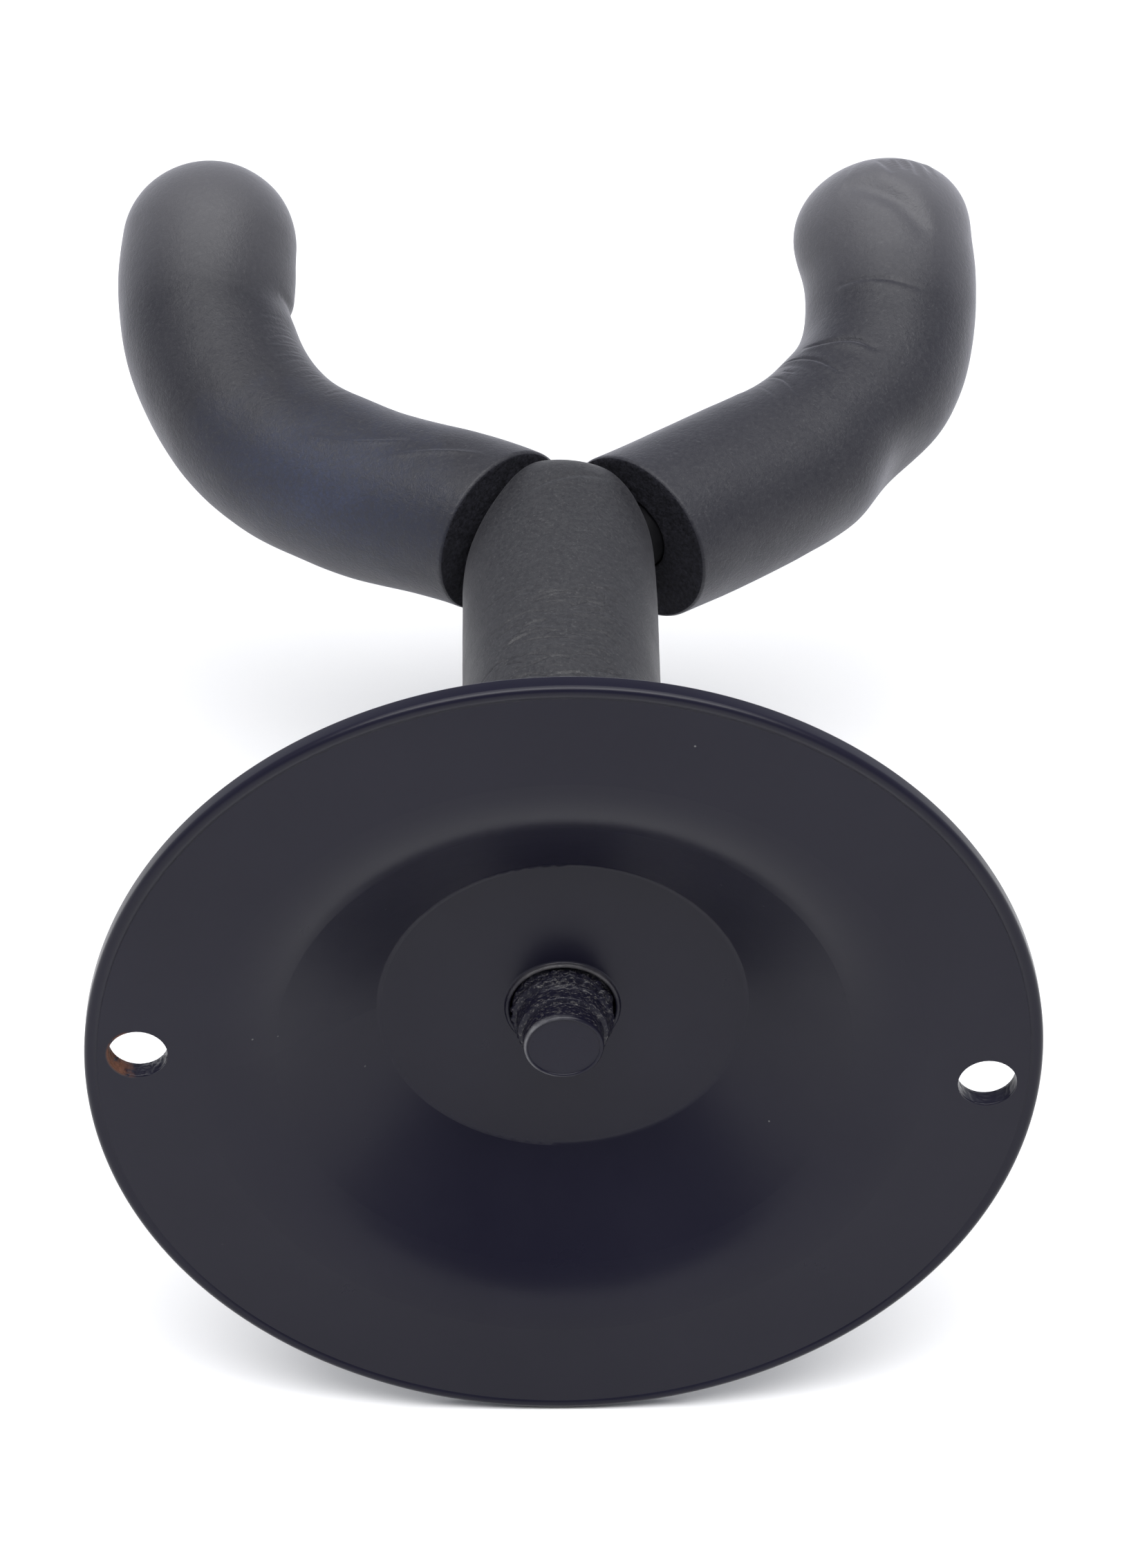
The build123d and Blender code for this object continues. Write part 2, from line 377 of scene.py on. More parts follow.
def foam_skin(name, shade, cool, sheen, reflection_band_at=None):
    """Smooth skin of closed-cell foam: uneven bloom, fine mottle and pores, leathery grain, and tips painted
    paler as a painted highlight.

    shade is its brightness, cool adds blue, and reflection_band_at is the middle of a stretch
    that has a painted blue-grey reflection.
    """
    n = Nodes(name)
    n.set(Specular_IOR_Level=0.34, Sheen_Weight=sheen, Sheen_Roughness=0.42,
          Sheen_Tint=(0.9, 0.9, 1.0, 1.0))
    bloom = n.noise(18.0, 6.0, 0.62)
    dark = (0.70 * shade, 0.70 * shade, 0.70 * shade + cool)
    pale = (1.15 * shade, 1.13 * shade, 1.15 * shade + cool)
    skin = n.ramp(bloom, (0.32, dark), (0.72, pale))
    if reflection_band_at is not None:
        # Painted reflection: a paler blue-grey band along the sleeve, standing in for a bluish light's
        # reflection.
        from_middle = n.vector("SUBTRACT", n.place, reflection_band_at)
        away = n.vector("LENGTH", n.vector("MULTIPLY", from_middle, REFLECTION_BAND_SHAPE))
        patchy = n.math("ADD", away, n.math("MULTIPLY", n.noise(5.0, 5.0, 0.65), 0.9))
        skin = n.mix(n.spread(patchy, 1.6, 0.5, 0.0, 0.85), skin, (3.2 * shade, 4.2 * shade, 8.6 * shade))
    mottle = n.spread(n.noise(0.5, 4.0, 0.75), 0.38, 0.62, 0.0, 0.7)
    mottled = n.mix(mottle, skin, (2.2 * shade, 2.2 * shade, 2.2 * shade + cool))
    pores = n.spread(n.noise(0.32, 3.0, 0.7), 0.58, 0.68, 0.0, 0.5)
    specked = n.mix(pores, mottled, (5.0 * shade, 5.0 * shade, 5.0 * shade + cool))
    # Painted highlight: the base colour grows paler towards the tips.
    tip_highlight = n.spread(n.axis(n.place, "Y"), TIP_HIGHLIGHT_FROM, TIP_HIGHLIGHT_TO, 0.0, 0.8)
    n.to("Base Color", n.mix(tip_highlight, specked, (16.0 * shade, 15.8 * shade, 16.0 * shade + 2.0 * cool)))
    n.to("Roughness", n.spread(n.noise(6.5, 5.0, 0.6), 0.3, 0.7, 0.46, 0.60))
    broad = n.bump(n.noise(2.4, 4.0, 0.6), 0.035)
    grain = n.bump(n.noise(0.5, 4.0, 0.65, warp=0.6), 0.06, before=broad)
    n.to("Normal", n.bump(n.noise(0.16, 2.0, 0.5), 0.026, before=grain))
    return n.material


def foam_cut():
    """Open cells where the foam was cut: matt and nearly black."""
    n = Nodes("foam_cut")
    n.set(Specular_IOR_Level=0.15, Roughness=0.95)
    cells = n.noise(0.40, 4.0, 0.7)
    n.to("Base Color", n.ramp(cells, (0.35, (0.004, 0.004, 0.006)), (0.7, (0.020, 0.020, 0.027))))
    n.to("Normal", n.bump(cells, 0.22))
    return n.material


# ---------------------------------------------------------------------------
# Mesh helpers.  A surface is a stack of rings, each an array of points in mm.
# ---------------------------------------------------------------------------
CURVE_POINTS = 70                      # points worked out along a fold


def make_piece(name, vertices, faces, index, materials):
    """A smooth object with outward normals; index is each face's material number."""
    mesh = bpy.data.meshes.new(name)
    mesh.from_pydata((vertices * MM).tolist(), [], faces)
    for material in materials:
        mesh.materials.append(material)
    mesh.polygons.foreach_set("material_index", index)
    mesh.polygons.foreach_set("use_smooth", [True] * len(faces))
    outward = bmesh.new()
    outward.from_mesh(mesh)
    bmesh.ops.recalc_face_normals(outward, faces=outward.faces)
    outward.to_mesh(mesh)
    outward.free()
    piece = bpy.data.objects.new(name, mesh)
    bpy.context.scene.collection.objects.link(piece)
    return piece


def ring_mesh(name, rings, kinds, materials):
    """A closed surface through the rings, with a fan over each end; kinds are material numbers."""
    rings = np.asarray(rings)
    count, around = rings.shape[:2]
    ends = [rings[0].mean(axis=0), rings[-1].mean(axis=0)]
    vertices = np.vstack([rings.reshape(-1, 3), ends])
    number = np.arange(count * around).reshape(count, around)
    nxt = np.roll(number, -1, axis=1)
    quads = np.stack([number[:-1], nxt[:-1], nxt[1:], number[1:]], axis=-1).reshape(-1, 4)
    faces = quads.tolist()
    index = np.repeat(kinds[1:], around).tolist()
    for end, centre, kind in ((0, count * around, kinds[0]), (-1, count * around + 1, kinds[-1])):
        fan = [(centre, b, a) if end == 0 else (centre, a, b) for a, b in zip(number[end], nxt[end])]
        faces += [tuple(int(v) for v in face) for face in fan]
        index += [kind] * around
    return make_piece(name, vertices, faces, index, materials)


def band_mesh(name, rings, materials):
    """A closed band: each ring is joined to the next one, and the last to the first."""
    vertices = np.array(rings).reshape(-1, 3)
    count, around = len(rings), len(rings[0])
    faces = []
    for i in range(count):
        for j in range(around):
            k, n = (j + 1) % around, (i + 1) % count
            faces.append((i * around + j, i * around + k, n * around + k, n * around + j))
    return make_piece(name, vertices, faces, [0] * len(faces), materials)


def steps(start, end, coarse, fine, finely):
    """Distances from start to end, closer together inside each (from, to) stretch of finely."""
    places = [start]
    while places[-1] < end - 1e-6:
        near = any(low <= places[-1] <= high for low, high in finely)
        places.append(min(end, places[-1] + (fine if near else coarse)))
    return np.array(places)


def lumps(points, size, height, seed=0.0):
    """Smooth uneven height over the points, with lumps of about size mm."""
    offset = Vector((seed, 2.0 * seed, 3.0 * seed))
    flat = points.reshape(-1, 3)
    heights = [noise.noise(Vector(p) / size + offset) for p in flat.tolist()]
    return height * np.array(heights).reshape(points.shape[:-1])


def wrap(angle):
    return (angle + 180.0) % 360.0 - 180.0


def swell(along, angle, at, side, length, spread, height):
    """A soft swelling, or a dent where height is negative."""
    return height * np.exp(-(((along - at) / length) ** 2) - (wrap(angle - side) / spread) ** 2)


def through(points, count):
    """A smooth curve through a few (mm, degrees) points."""
    points = np.asarray(points, dtype=float)
    if len(points) == 2:
        points = np.array([points[0], points.mean(axis=0), points[1]])
    padded = np.vstack([2 * points[0] - points[1], points, 2 * points[-1] - points[-2]])
    share = np.linspace(0.0, len(points) - 1.0, count)
    piece = np.minimum(share.astype(int), len(points) - 2)
    t = (share - piece)[:, None]
    a, b, c, d = (padded[piece + i] for i in range(4))
    return 0.5 * (2 * b + (c - a) * t + (2 * a - 5 * b + 4 * c - d) * t**2 + (3 * b - a - 3 * c + d) * t**3)


def fold(along, angle, radius, line, width, depth, lip, lip_width=1.6):
    """A fold in the skin along a line of (mm, degrees) points, fading at both ends.

    It is a valley of the given width and depth, with a lip on the side nearer the start
    of the tube, or on the far side where lip_width is negative.
    """
    curve = through(line, CURVE_POINTS)
    reach = 4.0 * width * max(1.0, abs(lip_width))
    low, high = curve[:, 0].min() - reach, curve[:, 0].max() + reach
    near = (along > low) & (along < high)
    height = np.zeros_like(along)
    if not near.any():
        return height
    down = along[near][:, None] - curve[:, 0]
    across = np.radians(wrap(angle[near][:, None] - curve[:, 1])) * radius
    gap = np.hypot(down, across)
    nearest = gap.argmin(axis=1)
    rows = np.arange(len(nearest))
    distance = gap[rows, nearest]
    before = distance * np.where(down[rows, nearest] < 0, 1.0, -1.0)
    fade = np.sin(np.pi * np.clip(nearest / (CURVE_POINTS - 1.0), 0.0, 1.0)) ** 0.6
    beside = (before * np.sign(lip_width) - abs(lip_width) * width) / (abs(lip_width) * width)
    height[near] = fade * (lip * np.exp(-beside**2) - depth * np.exp(-((distance / width) ** 2)))
    return height


# ---------------------------------------------------------------------------
# Prong sleeves
# ---------------------------------------------------------------------------
class Prong:
    """Centreline of one prong, read by distance in mm from where the two prongs meet."""

    def __init__(self, side, shift, cut, offset, dome):
        self.shift = shift
        self.cut = cut
        self.offset = offset
        self.dome = dome
        self.outward = np.array([side * math.sin(SPREAD), -math.cos(SPREAD), 0.0])
        tip_way = np.array([
            -side * math.sin(TIP_TOE_IN),
            -math.cos(TIP_TOE_IN) * math.cos(TIP_RISE),
            math.cos(TIP_TOE_IN) * math.sin(TIP_RISE),
        ])
        ahead = float(self.outward @ tip_way)
        self.turn = math.acos(ahead)
        self.inner = (tip_way - self.outward * ahead) / math.sin(self.turn)
        upper = np.cross(self.outward, tip_way) / math.sin(self.turn)
        self.upper = upper * np.sign(upper[2])
        meeting = np.array([0.0, -NECK_REACH, 0.0])
        self.hub = meeting + self.outward * PRONG_STRAIGHT + self.inner * PRONG_BEND
        self.bend_end = PRONG_STRAIGHT + PRONG_BEND * self.turn
        self.tip = self.bend_end + TIP_STRAIGHT

    def at(self, along):
        """Centre, direction and inner side at each distance, as arrays of points."""
        along = np.asarray(along, dtype=float)
        angle = np.clip((along - PRONG_STRAIGHT) / PRONG_BEND, 0.0, self.turn)[..., None]
        way = np.cos(angle) * self.outward + np.sin(angle) * self.inner
        inside = np.cos(angle) * self.inner - np.sin(angle) * self.outward
        before = np.minimum(along - PRONG_STRAIGHT, 0.0)[..., None]
        after = np.maximum(along - self.bend_end, 0.0)[..., None]
        return self.hub - inside * PRONG_BEND + way * (before + after), way, inside

    def leaning(self, along, angle, share=1.0):
        """Distances moved with the lean of the cut end, which fades away along the sleeve."""
        start, lean, side = self.cut
        fade = np.clip(1.0 - (along - start) / LEAN_FADE, 0.0, 1.0) ** 2
        return along + lean * share * fade * np.cos(np.radians(angle - side))

    def drift(self, along):
        """How far the foam sits to one side of the rod: its wall isn't even."""
        share = np.clip((along - self.cut[0]) / (self.tip - self.cut[0]), 0.0, 1.0) ** 0.7
        fade = 0.5 + 0.5 * np.cos(np.pi * np.clip((along - self.cut[0]) / OFFSET_FADE, 0.0, 1.0))
        beside = self.inner * self.offset[0] + self.upper * self.offset[1]
        return share[..., None] * np.array([self.shift, 0.0, 0.0]) + fade[..., None] * beside

    def dome_height(self, along, angle):
        """The round end is pressed flatter, leans, or has square shoulders."""
        press, inner, upper, square = self.dome
        lean = np.maximum(along - self.tip, 0.0) / TIP_RADIUS
        ahead, beside = np.sin(lean), np.cos(lean)
        turned = np.radians(angle)
        sideways = inner * np.cos(turned) + upper * np.sin(turned)
        return ahead * (press * ahead + 2.0 * beside * sideways) + square * (2.0 * ahead * beside) ** 2

    def skin(self, along, angle, radius):
        """Points on the skin; past the tip's centre the distance runs over the round end."""
        centre, way, inside = self.at(np.minimum(along, self.tip))
        lean = (np.maximum(along - self.tip, 0.0) / TIP_RADIUS)[..., None]
        turned = np.radians(angle)[..., None]
        flat = np.cos(turned) * inside + np.sin(turned) * self.upper
        direction = flat * np.cos(lean) + way * np.sin(lean)
        return centre + self.drift(along) + direction * radius[..., None]


SLEEVE_AROUND = 220
TIP_RADIUS = 9.45
CUT_ROUND = 0.45                       # rounded edge of a cut end
LEAN_FADE = 14.0                       # how far from the cut end its lean is felt
OFFSET_FADE = 20.0                     # and its offset
RIGHT_END_RADIUS = 9.15                # each sleeve's radius at its cut end
LEFT_END_RADIUS = 9.45

# Swellings and dents: mm along, degrees round, length mm, spread degrees, height mm.
# 0 degrees is the inside of the bend, 90 its upper side, 180 its outer side.
RIGHT_SWELLINGS = (
    (60.5, 338.0, 5.5, 34.0, 0.62),
    (54.5, 345.0, 2.4, 40.0, -0.35),
    (36.0, 45.0, 9.0, 40.0, -0.25),
    (26.0, 215.0, 12.0, 45.0, 0.35),
)
LEFT_SWELLINGS = (
    (40.3, 160.0, 4.2, 42.0, -1.9),
    (50.0, 165.0, 5.0, 50.0, 0.12),
    (47.0, 5.0, 4.0, 40.0, -0.35),
    (33.0, 165.0, 4.0, 40.0, -0.35),
    (66.5, 342.0, 5.5, 35.0, 0.9),
    (51.5, 5.0, 4.5, 40.0, -0.55),
    (21.0, 215.0, 9.0, 45.0, 0.4),
    (24.0, 60.0, 9.0, 40.0, -0.35),
    (71.0, 175.0, 5.0, 40.0, 0.7),
    (70.5, 60.0, 3.2, 40.0, 0.25),
)
# Folds: points (mm along, degrees round), then width, depth, lip height and lip width.
RIGHT_FOLDS = (
    (((55.6, 312.0), (55.0, 340.0), (55.4, 368.0)), 0.8, 0.24, 0.10, -1.8),
    (((29.2, 82.5), (23.2, 73.5), (17.5, 60.0)), 0.26, -0.25, 0.06, 1.8),
    (((19.2, 78.0), (14.2, 64.5), (9.2, 52.5)), 0.24, -0.22, 0.05, 1.8),
    (((21.5, 90.0), (15.0, 84.0)), 0.5, 0.03, 0.02, 1.6),
)
LEFT_FOLDS = (
    (((55.2, 24.0), (55.9, 45.0), (55.9, 65.0), (55.3, 90.0)), 0.34, 0.16, 0.10, 2.0),
    (((43.6, 17.0), (44.3, 30.0), (45.5, 45.0), (46.0, 58.0), (45.6, 72.0)), 0.42, 0.40, 0.22, 2.0),
    (((39.8, 2.0), (40.6, 22.0), (40.6, 40.0), (40.0, 62.0)), 0.36, 0.30, 0.14, 2.0),
    (((35.6, 12.0), (34.8, 32.0), (33.0, 54.0)), 0.32, 0.26, 0.12, 2.0),
    (((37.2, 22.0), (36.8, 34.0)), 0.28, 0.16, 0.08, 2.0),
    (((32.0, 20.0), (30.6, 46.0)), 0.30, 0.07, 0.04, 2.0),
    (((69.4, 34.0), (68.6, 52.0), (67.1, 67.5), (65.5, 78.0), (61.8, 92.0)), 1.2, 0.66, 0.26, -2.0),
    (((73.0, 66.0), (69.8, 74.0)), 0.6, 0.34, 0.16, 1.6),
    (((73.6, 84.0), (70.4, 84.0)), 0.5, 0.28, 0.14, 1.6),
    (((73.2, 100.0), (69.6, 92.0)), 0.5, 0.30, 0.14, 1.6),
    (((73.8, 118.0), (70.6, 106.0)), 0.5, 0.20, 0.10, 1.6),
)


# Side, drift to one side, cut end, and the dome's press, inner lean, upper lean, square shoulders.
RIGHT_PRONG = Prong(1, -0.2, RIGHT_CUT, RIGHT_OFFSET, (-0.52, 0.18, 0.0, 0.0))
LEFT_PRONG = Prong(-1, -0.7, LEFT_CUT, LEFT_OFFSET, (-0.34, 0.02, 0.12, 0.22))


def bend_wrinkles(along, angle, seed, start, end, low, high, count, depth):
    """Fine wrinkles round the inside of the bend."""
    dice = np.random.default_rng(seed)
    height = np.zeros_like(along)
    for place in np.linspace(start, end, count):
        at = place + dice.uniform(-0.5, 0.5)
        first = dice.uniform(low, low + 12.0)
        last = dice.uniform(high - 14.0, high)
        middle = (at + dice.uniform(-0.3, 0.3), 0.5 * (first + last))
        line = ((at + dice.uniform(-0.6, 0.2), first), middle, (at + dice.uniform(-1.0, 0.2), last))
        height += fold(along, angle, TIP_RADIUS, line, dice.uniform(0.18, 0.30),
                       depth * dice.uniform(0.5, 1.0), depth * 0.5)
    return height


def prong_sleeve(name, prong, end_radius, swellings, folds, wrinkles, materials):
    """A foam tube with a cut end, a bore for the rod, and a closed round tip."""
    start, side = prong.cut[0], math.copysign(1.0, prong.outward[0])
    turns = np.linspace(0.0, 360.0, SLEEVE_AROUND, endpoint=False)
    pole = prong.tip + TIP_RADIUS * 0.5 * math.pi - 0.12
    places = steps(start + CUT_ROUND, pole, 0.30, 0.17, ((30.0, 47.0), (53.0, 58.0), (60.0, 75.0)))
    along, angle = np.meshgrid(places, turns, indexing="ij")
    along = prong.leaning(along, angle)
    growth = np.clip((along - start) / (prong.bend_end - start), 0.0, 1.0)
    radius = end_radius + (TIP_RADIUS - end_radius) * growth
    for feature in swellings:
        radius = radius + swell(along, angle, *feature)
    for feature in folds:
        radius = radius + fold(along, angle, TIP_RADIUS, *feature)
    radius = radius + wrinkles(along, angle) + prong.dome_height(along, angle)
    rough = prong.skin(along, angle, radius)
    radius = radius + lumps(rough, 11.0, 0.16, side + 4.0) + lumps(rough, 3.6, 0.035, side + 9.0)
    skin = prong.skin(along, angle, radius)
    edge = radius[0]
    bore = ROD_RADIUS + FOAM_FIT

    def flat_ring(at, ring_radius):
        spread = np.broadcast_to(ring_radius, turns.shape)
        distance = prong.leaning(np.full(turns.shape, at), turns, spread / edge)
        centre, _, inside = prong.at(distance)
        turned = np.radians(turns)[:, None]
        beside = prong.drift(distance) * ((spread - bore) / (edge - bore))[:, None]
        return centre + beside + (np.cos(turned) * inside + np.sin(turned) * prong.upper) * spread[:, None]

    rings = []
    for place in np.linspace(prong.bend_end + ROD_TIP_STRAIGHT + FOAM_FIT, start + 0.4, 60):
        rings.append(flat_ring(place, bore))
    rings.append(flat_ring(start + 0.1, bore + 0.1))
    for share in np.linspace(0.06, 1.0, 22):
        ring = flat_ring(start, bore + (edge - CUT_ROUND - bore) * share)
        worn = lumps(ring, 0.8, 0.10, 3.0) + lumps(ring, 5.0, 0.10, 6.0)
        rings.append(ring + prong.outward * worn[:, None])
    kinds = [1] * len(rings)
    for turn in np.radians(np.linspace(20.0, 80.0, 5)):
        place = start + CUT_ROUND * (1.0 - math.cos(turn))
        rings.append(flat_ring(place, edge - CUT_ROUND * (1.0 - math.sin(turn))))
        kinds.append(0 if turn > math.radians(40.0) else 1)
    rings += list(skin)
    kinds += [0] * len(skin)
    return ring_mesh(name, rings, kinds, materials)


# ---------------------------------------------------------------------------
# Neck foam
# ---------------------------------------------------------------------------
NECK_AROUND = 240
NECK_BORE = STUD_RADIUS + FOAM_FIT
COLLAR_POCKET = 7.65
PINCH_START = 83.0                     # from the wall, where the foam begins to close
PINCH_POWER = 2.3
GRAZING = 0.02                         # a sleeve's end doesn't limit the foam at a smaller angle
FOAM_GAP = 0.25
NECK_RADIUS = NECK_FOAM_RADIUS + 0.2
# Folds across the neck: (mm from the wall, degrees), 0 degrees is +X and 90 is the top.
NECK_FOLDS = (
    (((83.6, 122.0), (82.9, 106.0), (81.6, 86.0), (79.6, 64.0)), 0.36, 0.10, 0.06, 2.0),
    (((69.2, 92.0), (68.4, 108.0), (66.4, 124.0)), 0.22, -0.05, 0.0, 1.6),
    (((58.2, 96.0), (57.6, 112.0), (55.2, 126.0)), 0.20, -0.06, 0.02, 1.6),
    (((56.6, 84.0), (56.8, 100.0), (55.8, 112.0)), 0.18, -0.06, 0.02, 1.6),
    (((50.6, 44.0), (54.0, 54.0), (56.2, 66.0), (57.0, 78.0)), 0.20, -0.07, 0.03, 1.6),
    (((49.6, 58.0), (52.0, 70.0), (52.8, 84.0), (52.4, 98.0)), 0.20, -0.06, 0.02, 1.6),
    (((58.6, 48.0), (59.8, 60.0)), 0.20, -0.05, 0.02, 1.6),
)


def neck_shift(reach):
    """How far the foam sits to -X of the rod: its wall isn't even."""
    return -0.2 - 0.8 * np.clip((reach - 14.0) / 56.0, 0.0, 1.0)


def neck_radius(reach, angle):
    """Round, then squeezed on both sides by the prong sleeves' ends, and closed at the far end."""
    turned = np.radians(angle)
    closing = np.clip((reach - PINCH_START) / (NECK_FOAM_END - PINCH_START), 0.0, 0.995)
    height = NECK_RADIUS * (1.0 - closing**PINCH_POWER) ** (1.0 / PINCH_POWER)
    oval = 1.0 / np.sqrt((np.cos(turned) / NECK_RADIUS) ** 2 + (np.sin(turned) / height) ** 2)
    power = 9.0                        # a soft minimum of the round shape and the two limits
    packed = oval**-power
    for prong, end_radius in ((RIGHT_PRONG, RIGHT_END_RADIUS), (LEFT_PRONG, LEFT_END_RADIUS)):
        start, lean, side = prong.cut
        side = math.radians(side)
        leaning = math.cos(side) * prong.inner + math.sin(side) * prong.upper
        face = prong.outward - leaning * lean / end_radius
        beside = prong.inner * prong.offset[0] + prong.upper * prong.offset[1]
        room = start - FOAM_GAP - float(leaning @ beside) * lean / end_radius
        room = room - neck_shift(reach) * face[0] - (NECK_REACH - reach) * face[1]
        facing = np.cos(turned) * face[0] + np.sin(turned) * face[2]
        limit = np.maximum(room, 1.0) / np.maximum(facing, GRAZING)
        packed = packed + np.where(facing > GRAZING, limit, 1e3) ** -power
    return packed ** (-1.0 / power)


def neck_wrinkles(reach, angle):
    """Fine arc wrinkles over the top of the neck, where the skin was worked in the hand."""
    dice = np.random.default_rng(12)
    height = np.zeros_like(reach)
    for place in np.linspace(46.0, 64.0, 56):
        middle = dice.uniform(50.0, 128.0)
        half = dice.uniform(6.0, 20.0)
        bow = dice.uniform(0.1, 0.09 * half)
        tilt = dice.uniform(-0.7, 0.7)
        line = ((place - bow - tilt, middle - half), (place, middle), (place - bow + tilt, middle + half))
        depth = dice.uniform(0.08, 0.19) * dice.choice([-0.8, 1.0, 1.0])
        height += fold(reach, angle, NECK_RADIUS, line, dice.uniform(0.12, 0.17), depth, 0.025)
    return height


def neck_foam(materials):
    turns = np.linspace(0.0, 360.0, NECK_AROUND, endpoint=False)
    flat = np.stack([np.cos(np.radians(turns)), 0.0 * turns, np.sin(np.radians(turns))], axis=-1)

    def ring(reach, radius, shift=0.0):
        points = flat * np.broadcast_to(radius, turns.shape)[:, None]
        return points + np.array([shift, -reach, 0.0])

    lip_start = NECK_FOAM_END - 0.7
    places = steps(NECK_FOAM_START + CUT_ROUND, lip_start, 0.45, 0.14, ((46.0, 64.0), (80.0, 90.0)))
    reach, angle = np.meshgrid(places, turns, indexing="ij")
    radius = neck_radius(reach, angle)
    for feature in NECK_FOLDS:
        radius = radius + fold(reach, angle, NECK_RADIUS, *feature)
    radius = radius + neck_wrinkles(reach, angle)
    shift = neck_shift(reach)
    points = np.stack([radius * np.cos(np.radians(angle)) + shift, -reach,
                       radius * np.sin(np.radians(angle))], axis=-1)
    radius = radius + lumps(points, 12.0, 0.12, 2.0) + lumps(points, 3.2, 0.03, 5.0)

    rings = [ring(place, NECK_BORE) for place in np.linspace(73.0, COLLAR_END + 0.5, 30)]
    rings.append(ring(COLLAR_END + 0.4, NECK_BORE + 0.2))
    rings.append(ring(COLLAR_END + 0.4, COLLAR_POCKET - 0.2))
    rings.append(ring(COLLAR_END + 0.2, COLLAR_POCKET))
    rings.append(ring(NECK_FOAM_START + 0.1, COLLAR_POCKET))
    start_shift = neck_shift(NECK_FOAM_START)
    for share in np.linspace(0.1, 1.0, 8):
        outline = COLLAR_POCKET + (radius[0] - CUT_ROUND - COLLAR_POCKET) * share
        rings.append(ring(NECK_FOAM_START, outline, start_shift * share))
    kinds = [1] * len(rings)
    for turn in np.radians(np.linspace(20.0, 80.0, 4)):
        rings.append(ring(NECK_FOAM_START + CUT_ROUND * (1.0 - math.cos(turn)),
                          radius[0] - CUT_ROUND * (1.0 - math.sin(turn)), start_shift))
        kinds.append(0)
    for place, outline in zip(places, radius):
        rings.append(ring(place, outline, neck_shift(place)))
        kinds.append(0)
    mouth = (rings[-1].max(axis=0) + rings[-1].min(axis=0)) / 2
    lip = rings[-1]
    for turn in np.radians(np.linspace(15.0, 165.0, 11)):
        narrowed = 1.0 - 0.18 * (1.0 - math.cos(turn))
        forward = 0.7 * math.sin(turn)
        rings.append(mouth + (lip - mouth) * narrowed + np.array([0.0, -forward, 0.0]))
        kinds.append(0 if turn < math.radians(100.0) else 1)
    throat = rings[-1] - mouth
    for share in np.linspace(0.0, 1.0, 8)[1:]:
        rings.append(mouth + throat * (1.0 - 0.6 * share) + np.array([0.0, 3.0 * share, 0.0]))
        kinds.append(1)
    return ring_mesh("neck_foam", rings, kinds, materials)


# ---------------------------------------------------------------------------
# Neck rod with its threaded stud
# ---------------------------------------------------------------------------
STUD_AROUND = 180
THREAD_PITCH = 1.5
THREAD_DEPTH = 0.92
THREAD_END = 23.0
FACE_DEPTH = 0.13                      # the flat face lies this far below its rim
COPE_START = NECK_REACH - 6.0          # from here the far end shapes itself to the yoke rod
# Outline of the stud's point: distance behind its flat face, then radius.
STUD_POINT = (
    (0.0, 3.60), (0.15, STUD_RIM_RADIUS), (1.9, 3.85), (2.05, 3.62),
    (2.2, 4.30), (3.4, 4.45), (3.9, 4.95), (5.0, 5.0),
)


def stud_point(reach):
    behind, outline = zip(*STUD_POINT)
    return np.interp(reach - STUD_TIP, behind, outline)


def thread_radius(reach, angle):
    """A rounded 60-degree thread with a bevelled tip, running out into the plain rod."""
    phase = (reach / THREAD_PITCH - angle / 360.0) % 1.0
    crest = np.clip(1.3 * np.abs(2.0 * phase - 1.0) - 0.12, 0.0, 1.0)
    crest = crest * crest * (3.0 - 2.0 * crest)
    depth = THREAD_DEPTH * np.clip((THREAD_END - reach) / 2.0, 0.0, 1.0)
    depth = depth * np.clip((reach - STUD_TIP - 2.2) / 1.5, 0.25, 1.0)
    return np.minimum(STUD_RADIUS - 0.03 - depth * (1.0 - crest), stud_point(reach))


